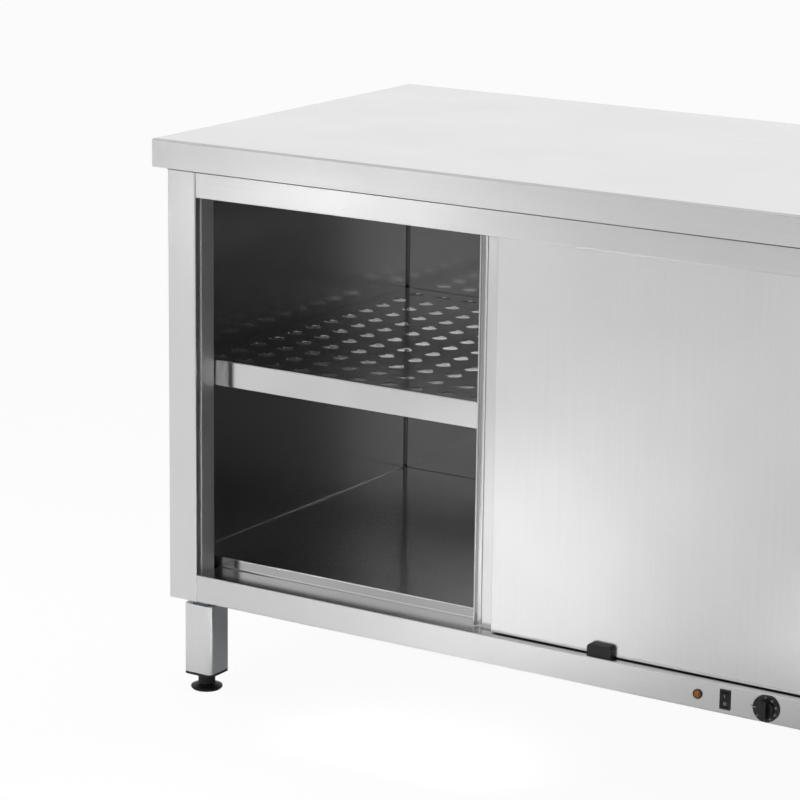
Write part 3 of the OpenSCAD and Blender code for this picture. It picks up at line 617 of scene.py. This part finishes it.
@dataclass(frozen=True)
class SoftBox:
    """A softbox with a grid in front, which keeps its beam narrow.

    Attributes:
        name: the lamp's name.
        place: its middle, in metres.
        aim: the point that it faces.
        along: the way that its long side runs.
        size: its length and width, in metres.
        spread: the beam's full angle, in degrees.
        power: its power, in watts.
        mirrored: whether steel shows it again; a gridded box stays hidden from it.
    """

    name: str
    place: tuple[float, float, float]
    aim: tuple[float, float, float]
    along: tuple[float, float, float]
    size: tuple[float, float]
    spread: float
    power: float
    mirrored: bool = False

    def build(self) -> None:
        """Adds the lamp, turned to its aim."""
        data = bpy.data.lights.new(self.name, "AREA")
        data.shape, data.energy, data.spread = "RECTANGLE", self.power, math.radians(self.spread)
        data.size, data.size_y = self.size
        back = (Vector(self.place) - Vector(self.aim)).normalized()
        up = back.cross(Vector(self.along)).normalized()
        turn = Matrix((up.cross(back), up, back)).transposed().to_4x4()
        lamp = bpy.data.objects.new(self.name, data)
        lamp.matrix_world = Matrix.Translation(self.place) @ turn
        lamp.visible_glossy, lamp.visible_camera = self.mirrored, False
        bpy.context.scene.collection.objects.link(lamp)


@dataclass(frozen=True)
class Paper:
    """Matt white studio paper, lifted to plain white where the camera or a reflection looks.

    Attributes:
        name: the material's name.
        colour: sRGB hex of the paper.
        camera_lift: share of plain white that the camera sees.
        mirror_lift: share of plain white that metal and glass see.
    """

    name: str
    colour: str
    camera_lift: float
    mirror_lift: float

    def material(self) -> bpy.types.Material:
        """Builds the material: lit paper, mixed with white by the kind of ray."""
        made = bpy.data.materials.new(self.name)
        made.use_nodes = True
        tree = made.node_tree
        tree.nodes.clear()
        rays = add_node(tree, "LightPath").outputs
        mirror = add_node(tree, "Math", {0: mirrored_rays(tree, rays), 1: self.mirror_lift},
                          operation="MULTIPLY")
        lift = add_node(tree, "Math", {
            0: rays["Is Camera Ray"], 1: self.camera_lift, 2: mirror.outputs[0],
        }, operation="MULTIPLY_ADD")
        paper = add_node(tree, "BsdfDiffuse", {"Color": linear(self.colour)})
        white = add_node(tree, "Emission", {"Color": linear("FFFFFF"), "Strength": 1.0})
        mixed = add_node(tree, "MixShader", {
            0: lift.outputs[0], 1: paper.outputs[0], 2: white.outputs[0]})
        add_node(tree, "OutputMaterial", {"Surface": mixed.outputs[0]})
        return made


@dataclass
class Studio:
    """A pale paper floor and backdrop under soft light, in a dim room.

    Attributes:
        floor_side: width of the floor, in metres.
        wall_y: distance of the backdrop behind the object, in metres.
        wall_half: half the backdrop's width, in metres.
        wall_h: the backdrop's height, in metres.
        sweep_r: radius of the backdrop's foot, in metres.
        sweep_steps: steps round that foot.
        lift: height of the backdrop's foot over the floor, in metres.
        room: strength of the room's own soft light.
        dim: strength that steel mirrors on the room's dark side.
        bright: strength that it mirrors on the bright side.
        bright_way: the way towards the room's bright side.
        fade: shares of that way over which dim turns to bright.
        floor_paper: the floor's paper.
        wall_paper: the backdrop's paper.
        lamps: the softboxes.
    """

    floor_side: float = 60.0
    wall_y: float = 10.0
    wall_half: float = 25.0
    wall_h: float = 9.0
    sweep_r: float = 2.0
    sweep_steps: int = 12
    lift: float = 1.0 * MM
    room: float = 0.3
    dim: float = 0.2
    bright: float = 0.7
    bright_way: tuple[float, float, float] = (-0.46, -0.46, 0.76)
    fade: tuple[float, float] = (0.4, 0.8)
    floor_paper: Paper = Paper("paper_white_floor", "F4F4F4", 0.95, 0.05)
    wall_paper: Paper = Paper("paper_white_backdrop", "F4F4F4", 0.95, 0.95)
    lamps: Sequence[SoftBox] = (
        SoftBox("pool_softbox", (-2.25, -2.5, 2.6), (-2.25, -2.5, 0.0), (1.0, 0.0, 0.0),
                (4.8, 5.6), 40.0, 44.0),
        SoftBox("near_strip", (-0.54, -1.28, 0.9), (-0.54, -1.28, 0.0), (0.5, 0.86, 0.0),
                (1.4, 0.3), 45.0, 1.0),
        SoftBox("far_strip", (-2.88, -4.25, 0.9), (-2.88, -4.25, 0.0), (0.68, 0.73, 0.0),
                (1.5, 0.3), 45.0, 11.4),
        SoftBox("right_box", (0.3, -1.2, 0.8), (0.3, -1.2, 0.0), (1.0, 0.0, 0.0),
                (0.3, 0.3), 30.0, 1.0),
        SoftBox("under_box", (-0.12, -0.68, 0.34), (-0.14, -0.33, 0.0), (1.0, 0.0, 0.0),
                (0.35, 0.05), 30.0, 0.42),
        SoftBox("inside_fill", (0.22, -0.294, 0.49), (0.22, 0.3, 0.49), (1.0, 0.0, 0.0),
                (0.55, 0.55), 180.0, 0.045, mirrored=True),
        SoftBox("top_softbox", (0.6, 2.0, 3.4), (0.2, 0.6, 0.0), (1.0, 0.0, 0.0),
                (3.0, 3.0), 180.0, 24.0),
    )

    def build(self) -> None:
        """Adds floor, backdrop, room and lamps, and sets the plain view transform."""
        half = self.floor_side / 2.0
        self.sheet("studio_floor", np.array((-half, half)), np.zeros(2), half, self.floor_paper)
        angle = np.linspace(0.0, math.pi / 2.0, self.sweep_steps + 1)
        y = np.append(self.wall_y - self.sweep_r * (1.0 - np.sin(angle)), self.wall_y)
        z = np.append(self.sweep_r * (1.0 - np.cos(angle)), self.wall_h)
        self.sheet("studio_backdrop", y, z + self.lift, self.wall_half, self.wall_paper)
        world = bpy.data.worlds.new("studio_room")
        bpy.context.scene.world = world
        world.use_nodes = True
        world.node_tree.nodes.clear()
        self.light_room(world.node_tree)
        for lamp in self.lamps:
            lamp.build()
        bpy.context.scene.view_settings.view_transform = "Standard"

    def light_room(self, tree: bpy.types.NodeTree) -> None:
        """Makes a plain soft room, white to the camera, that steel sees as bright on one side."""
        rays = add_node(tree, "LightPath").outputs
        way = add_node(tree, "TexCoord").outputs["Generated"]
        share = add_node(tree, "VectorMath", {0: way, 1: self.bright_way}, operation="DOT_PRODUCT")
        walls = add_node(tree, "MapRange", {
            "Value": share.outputs["Value"], "From Min": self.fade[0], "From Max": self.fade[1],
            "To Min": self.dim, "To Max": self.bright})
        level = add_node(tree, "Mix", {
            "Factor": mirrored_rays(tree, rays), "A": self.room, "B": walls.outputs[0]})
        shown = add_node(tree, "Mix", {
            "Factor": rays["Is Camera Ray"], "A": level.outputs[0], "B": 1.0})
        back = add_node(tree, "Background", {
            "Color": linear("FFFFFF"), "Strength": shown.outputs[0]})
        add_node(tree, "OutputWorld", {"Surface": back.outputs[0]})

    def sheet(self, name: str, y: np.ndarray, z: np.ndarray, half: float, paper: Paper) -> None:
        """Adds a stage sheet: the profile (y, z) carried straight along X.

        Args:
            name: the sheet's name.
            y: profile, front to back.
            z: profile heights.
            half: half the sheet's width.
            paper: its paper.
        """
        count = len(y)
        points = np.concatenate([
            np.column_stack((np.full(count, x), y, z)) for x in (-half, half)])
        near = np.arange(count - 1)
        faces = np.column_stack((near, near + count, near + count + 1, near + 1))
        mesh = bpy.data.meshes.new(name)
        mesh.from_pydata(points.tolist(), [], faces.tolist())
        mesh.materials.append(paper.material())
        piece = bpy.data.objects.new(name, mesh)
        bpy.context.scene.collection.objects.link(piece)


@dataclass
class Cabinet:
    """The folded sheet cabinet with its worktop, liner and shelf."""

    def build(self) -> None:
        """Dresses the sheets."""
        dress(("worktop",), TOP_SATIN)
        dress(("top_rail", "bottom_rail"), RAIL_SATIN)
        dress(("left_side_panel", "right_side_panel"), POST_SATIN)
        dress(("left_jamb", "right_jamb"), JAMB_SATIN)
        dress(("rear_panel", "floor_tray", "ceiling_panel", "left_shelf_bearer",
               "right_shelf_bearer", "shelf_rib"), LINER_BRIGHT)
        dress(("perforated_shelf",), SHELF_BRIGHT)
        dress(("base_pan", "worktop_stiffeners"), ZINC)


@dataclass
class Doors:
    """The two hanging doors with their gear, track and guide."""

    def build(self) -> None:
        """Dresses the doors and their gear."""
        dress(("right_door_skin",), DOOR_SATIN)
        dress(("left_door_skin",), REAR_DOOR_PAINTED_SHADE)
        dress(("left_door_back", "right_door_back"), LINER_BRIGHT)
        dress(("left_door_hangers", "right_door_hangers"), PLATED)
        rollers = (f"{side}_door_roller_{n}" for side in ("left", "right") for n in (1, 2))
        dress(rollers, NYLON_WHITE)
        dress(("door_track",), TRACK)
        dress(("door_guide",), NYLON_BLACK)


@dataclass
class Heating:
    """The heating elements and the wiring under the floor tray."""

    def build(self) -> None:
        """Dresses the electrical pieces."""
        dress(("heating_element_front", "heating_element_rear"), SHEATH)
        dress(("heater_brackets", "bulb_clip"), PLATED)
        dress(("thermostat_body", "terminal_block"), CERAMIC)
        dress(("thermostat_bulb",), COPPER)
        dress(("overheat_cutout",), PLASTIC_BLACK)
        dress(("cable_gland",), NYLON_BLACK)


@dataclass
class Controls:
    """The thermostat knob, switch and lamp in the bottom rail, with their printed marks.

    Attributes:
        skirt_h: thickness of the knob's skirt.
        ink: how far print stands over its surface.
        type_size: type size of the dial's numbers.
        type_r: radius that the numbers' middles stand on.
        tick: inner radius, outer radius and width of a dial tick.
        off_turn: turn of the first number past the off mark, in degrees.
        last_turn: turn of the last number.
        first: the first number, in degrees Celsius.
        last: the last number.
        step: step from number to number.
        index_gap: gap from the knob to the index mark on the rail.
        index: length and width of that mark.
        rocker_tilt: degrees that the rocker leans at rest.
        rocker_face: depth of the rocker's dished face in front of its pin.
        rocker_dish: radius of the dish.
        mark_z: height of the rocker's marks from its pin.
        mark_r: mean radius of the round mark.
        mark_w: line width of both marks.
        bar_h: height of the straight mark.
        ring_steps: steps round the round mark.
        bar_steps: points along the straight mark.
    """

    skirt_h: float = 3.0 * MM
    ink: float = 0.05 * MM
    type_size: float = 3.4 * MM
    type_r: float = 15.4 * MM
    tick: tuple[float, float, float] = (17.3 * MM, 18.6 * MM, 0.5 * MM)
    off_turn: float = 45.0
    last_turn: float = 270.0
    first: int = 30
    last: int = 90
    step: int = 10
    index_gap: float = 1.2 * MM
    index: tuple[float, float] = (4.0 * MM, 0.9 * MM)
    rocker_tilt: float = 8.0
    rocker_face: float = 2.4 * MM
    rocker_dish: float = 21.7 * MM
    mark_z: float = 5.6 * MM
    mark_r: float = 1.7 * MM
    mark_w: float = 0.7 * MM
    bar_h: float = 4.2 * MM
    ring_steps: int = 32
    bar_steps: int = 9

    def build(self) -> None:
        """Dresses the controls and prints their marks."""
        dress(("switch_housing", "switch_rocker", "thermostat_knob"), PLASTIC_BLACK)
        dress(("pilot_lamp",), LAMP_AMBER)
        add_piece("dial_marks", self.dial(), INK_WHITE, "knob")
        add_piece("dial_index", self.dial_index(), INK_BLACK, "carcase")
        add_piece("rocker_marks", self.rocker_marks(), INK_WHITE, "rocker")

    def dial(self) -> Shape:
        """Numbers and ticks round the knob's skirt, the off mark at the index at rest."""
        numbers = range(self.first, self.last + 1, self.step)
        turns = np.linspace(self.off_turn, self.last_turn, len(numbers))
        labels = [("0", 0.0), *zip(map(str, numbers), turns.tolist())]
        return joined(shape for text, turn in labels for shape in self.dial_mark(text, turn))

    def dial_mark(self, text: str, turn: float) -> list[Shape]:
        """Makes one number and its tick.

        Args:
            text: the number.
            turn: the knob's turn, in degrees, that brings it to the index.

        Returns:
            The number and the tick, flat on the skirt.
        """
        centre = middle_of("thermostat_knob")
        centre[1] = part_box("thermostat_knob")[1].y - self.skirt_h
        angle = math.pi + math.radians(turn)
        out = np.array((math.cos(angle), 0.0, math.sin(angle)))
        right = np.array((math.sin(angle), 0.0, -math.cos(angle)))
        letters = set_at(lettering(text, self.type_size, self.ink), centre + self.type_r * out,
                         right, out)
        inner, outer, width = self.tick
        return [letters, self.line(centre + inner * out, centre + outer * out, right, width)]

    def dial_index(self) -> Shape:
        """A short line on the rail, pointing at the knob from the left."""
        low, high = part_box("thermostat_knob")
        length, width = self.index
        end = np.array((low.x - self.index_gap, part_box("bottom_rail")[0].y, (low.z + high.z) / 2.0))
        return self.line(end - np.array((length, 0.0, 0.0)), end, np.array((0.0, 0.0, -1.0)), width)

    def stroke(self, width: float) -> np.ndarray:
        """Profile of a printed line: a flat rectangle, half sunk in its surface."""
        return np.array(((-0.5, -1.0), (0.5, -1.0), (0.5, 1.0), (-0.5, 1.0))) * (width, self.ink)

    def line(self, start: np.ndarray, end: np.ndarray, right: np.ndarray, width: float) -> Shape:
        """A printed line: the stroke carried from start to end."""
        u = np.stack((right, right))
        v = np.broadcast_to((0.0, 1.0, 0.0), (2, 3))
        return swept(self.stroke(width), np.stack((start, end)), u, v, closed=False)

    def rocker_marks(self) -> Shape:
        """A straight mark above and a round one below, laid in the rocker's dished face.

        The dish is a cylinder along X, so a mark at height z lies at
        y = sqrt(dish^2 - z^2) - dish - face, all turned by the rocker's tilt about its pin.
        """
        profile = self.stroke(self.mark_w)
        angle = np.linspace(0.0, 2.0 * math.pi, self.ring_steps + 1)[:-1]
        ring = np.column_stack((np.cos(angle), np.zeros_like(angle), np.sin(angle)))
        into = np.broadcast_to((0.0, 1.0, 0.0), ring.shape)
        circle = swept(profile, self.mark_r * ring - (0.0, 0.0, self.mark_z), ring, into,
                       closed=True)
        rise = np.linspace(self.bar_h / 2.0, -self.bar_h / 2.0, self.bar_steps) + self.mark_z
        path = np.column_stack((np.zeros_like(rise), np.zeros_like(rise), rise))
        across = np.broadcast_to((1.0, 0.0, 0.0), path.shape)
        bar = swept(profile, path, across, into[:len(path)], closed=False)
        points, faces = joined((circle, bar))
        dished = np.sqrt(self.rocker_dish ** 2 - points[:, 2] ** 2) - self.rocker_dish
        points[:, 1] += dished - self.rocker_face
        tilt = math.radians(self.rocker_tilt)
        turned = np.column_stack((
            points[:, 0],
            points[:, 1] * math.cos(tilt) - points[:, 2] * math.sin(tilt),
            points[:, 1] * math.sin(tilt) + points[:, 2] * math.cos(tilt)))
        pin = next(joint for joint in frame["joints"] if joint["name"] == "rocker_tip")["pos_m"]
        return turned + np.array(pin), faces


@dataclass
class Fasteners:
    """Rivets of the rear wall and screws of the base pan.

    Attributes:
        rivet_r: radius of a rivet's dome.
        rivet_h: height of the dome.
        rivet_core: radius of the hole that the broken stem leaves.
        rivet_in: distance of a rivet from the cabinet's side.
        rivet_ends: distance of the end rivets from the cabinet's top and bottom.
        rivet_n: rivets on each side.
        rivet_steps: rings of a rivet's dome.
        rivet_sides: points round a rivet.
        head_r: radius of a screw's pan head.
        head_h: height of the head.
        head_power: power of the radius that the head falls off with.
        head_fall: share of its height that it falls to the rim.
        head_steps: rings of the head.
        head_sides: points round it.
        slot_w: half width of a cross slot.
        slot_depth: depth of the cross slot.
        slot_soft: share of the half width over which its wall slopes.
        slot_end: share of the head's radius at which the slot ends.
        slot_fade: share over which it runs out before that.
        screw_in: distance of the screws from the base pan's edges.
        screw_n: screws along each long edge.
    """

    rivet_r: float = 4.0 * MM
    rivet_h: float = 1.4 * MM
    rivet_core: float = 1.1 * MM
    rivet_in: float = 12.5 * MM
    rivet_ends: float = 40.0 * MM
    rivet_n: int = 6
    rivet_steps: int = 7
    rivet_sides: int = 24
    head_r: float = 4.0 * MM
    head_h: float = 2.4 * MM
    head_power: float = 6.0
    head_fall: float = 0.5
    head_steps: int = 17
    head_sides: int = 64
    slot_w: float = 0.5 * MM
    slot_depth: float = 1.1 * MM
    slot_soft: float = 0.4
    slot_end: float = 0.62
    slot_fade: float = 0.1
    screw_in: float = 30.0 * MM
    screw_n: int = 4

    def build(self) -> None:
        """Sets the rivets on the rear flanges and the screws under the base pan."""
        low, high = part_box("left_side_panel")
        side = -low.x - self.rivet_in
        heights = np.linspace(low.z + self.rivet_ends, high.z - self.rivet_ends, self.rivet_n)
        rivets = [set_at(self.rivet(), (x, high.y, z), (-1.0, 0.0, 0.0), (0.0, 0.0, 1.0))
                  for x in (-side, side) for z in heights]
        add_piece("rear_rivets", joined(rivets), PLATED, "carcase")
        low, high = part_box("base_pan")
        across = np.linspace(low.x, high.x, self.screw_n + 2)[1:-1]
        screws = [set_at(self.pan_head(), (x, y, low.z), (1.0, 0.0, 0.0), (0.0, -1.0, 0.0))
                  for x in across for y in (low.y + self.screw_in, high.y - self.screw_in)]
        add_piece("base_pan_screws", joined(screws), PLATED, "carcase")

    def rivet(self) -> Shape:
        """A domed rivet, h = height * sqrt(1 - (r / R)^2), with the hole of its stem."""
        share = np.linspace(1.0, self.rivet_core / self.rivet_r, self.rivet_steps)
        radius = np.concatenate(([0.0], share)) * self.rivet_r
        dome = self.rivet_h * np.sqrt(np.clip(1.0 - (radius[1:] / self.rivet_r) ** 2, 0.0, 1.0))
        radius = np.concatenate((radius, [self.rivet_core, 0.0]))
        height = np.concatenate(([0.0], dome, [self.rivet_h / 2.0, self.rivet_h / 2.0]))
        return spun(radius, height, self.rivet_sides)

    def pan_head(self) -> Shape:
        """A pan head, h = height * (1 - fall * (r / R)^power), less a cross slot.

        A point lies in the cross where the smaller of |x| and |y| is under the slot's half width.
        The slot runs out towards the rim.
        """
        share = np.concatenate(([0.0, 1.0], np.linspace(1.0, 0.0, self.head_steps)))
        angle = np.arange(self.head_sides) * (2.0 * math.pi / self.head_sides)
        radius = share * self.head_r
        dome = self.head_h * (1.0 - share ** self.head_power * self.head_fall)
        narrow = np.minimum(np.abs(np.cos(angle)), np.abs(np.sin(angle)))[None] * radius[:, None]
        inside = np.clip((self.slot_w - narrow) / (self.slot_soft * self.slot_w), 0.0, 1.0)
        reach = np.clip((self.slot_end - share) / self.slot_fade, 0.0, 1.0)[:, None]
        height = dome[:, None] - self.slot_depth * inside * reach
        height[:2] = 0.0
        return spun(radius, height, self.head_sides)


@dataclass
class Seams:
    """The sealed joint under the worktop, its dark sealant a painted shadow line, and the polished
    welds round the floor tray.

    Attributes:
        joint: width of the sealant in the corner under the worktop.
        weld: width of the welds.
        sunk: how far they all run into the sheets behind them.
        steps: steps round their hollow faces.
    """

    joint: float = 5.0 * MM
    weld: float = 2.5 * MM
    sunk: float = 0.3 * MM
    steps: int = 6

    def build(self) -> None:
        """Lays the joint round the cabinet's top, and the welds along the ledge and the walls."""
        # The sealant's dark grey paints the shadow line under the worktop's edge.
        add_piece("worktop_joint", self.worktop_joint(), SEALANT_SHADOW_LINE, "carcase")
        add_piece("tray_weld", self.tray_weld(), WELD, "carcase")
        both = joined(map(self.side_weld, (-1.0, 1.0)))
        add_piece("side_welds", both, WELD, "carcase")

    def hollow(self, width: float) -> np.ndarray:
        """Profile of a hollow fillet: quarter circle (w - w sin t, w - w cos t), backed square."""
        t = np.linspace(0.0, math.pi / 2.0, self.steps + 1)
        face = np.column_stack((width - width * np.sin(t), width - width * np.cos(t)))
        backs = np.array(((-self.sunk, width), (-self.sunk, -self.sunk), (width, -self.sunk)))
        return np.concatenate((face, backs))

    def worktop_joint(self) -> Shape:
        """The fillet carried round the cabinet's corners, outwards and down, with mitred turns."""
        low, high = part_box("left_side_panel")
        turns = np.array(((-1.0, -1.0), (1.0, -1.0), (1.0, 1.0), (-1.0, 1.0)))
        middle = np.column_stack((turns * (-low.x, high.y), np.full(4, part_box("worktop")[0].z)))
        outwards = np.column_stack((turns, np.zeros(4)))
        down = np.broadcast_to((0.0, 0.0, -1.0), (4, 3))
        return swept(self.hollow(self.joint), middle, outwards, down, closed=True)

    def tray_weld(self) -> Shape:
        """The fillet carried along X, forwards from the tray's lip and up from the ledge."""
        low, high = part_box("bottom_rail")
        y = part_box("floor_tray")[0].y
        middle = np.array(((low.x, y, high.z), (high.x, y, high.z)))
        forwards = np.broadcast_to((0.0, -1.0, 0.0), (2, 3))
        up = np.broadcast_to((0.0, 0.0, 1.0), (2, 3))
        return swept(self.hollow(self.weld), middle, forwards, up, closed=False)

    def side_weld(self, side: float) -> Shape:
        """The fillet carried along Y, up from the tray at a side wall (-1 left, 1 right)."""
        low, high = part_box("floor_tray")
        middle = np.array(((side * high.x, low.y, high.z), (side * high.x, high.y, high.z)))
        inwards = np.broadcast_to((-side, 0.0, 0.0), (2, 3))
        up = np.broadcast_to((0.0, 0.0, 1.0), (2, 3))
        return swept(self.hollow(self.weld), middle, inwards, up, closed=False)


@dataclass
class Legs:
    """The four square legs with their adjustable feet."""

    corners: Sequence[str] = ("front_left", "front_right", "rear_left", "rear_right")

    def build(self) -> None:
        """Dresses legs, spigots, inserts and feet."""
        dress([f"leg_{corner}" for corner in self.corners], LEG_SATIN)
        dress([f"foot_{corner}" for corner in self.corners], NYLON_BLACK)
        dress(("leg_spigots",), PLATED)
        dress(("leg_inserts",), NYLON_BLACK)


def main() -> None:
    """Builds the studio, the camera and every sub-assembly in order."""
    logging.basicConfig(level=logging.INFO, format="%(message)s")
    PhotoCamera().build()
    Studio().build()
    for assembly in (Cabinet(), Doors(), Heating(), Controls(), Fasteners(), Seams(), Legs()):
        assembly.build()


if __name__ == "__main__":
    main()
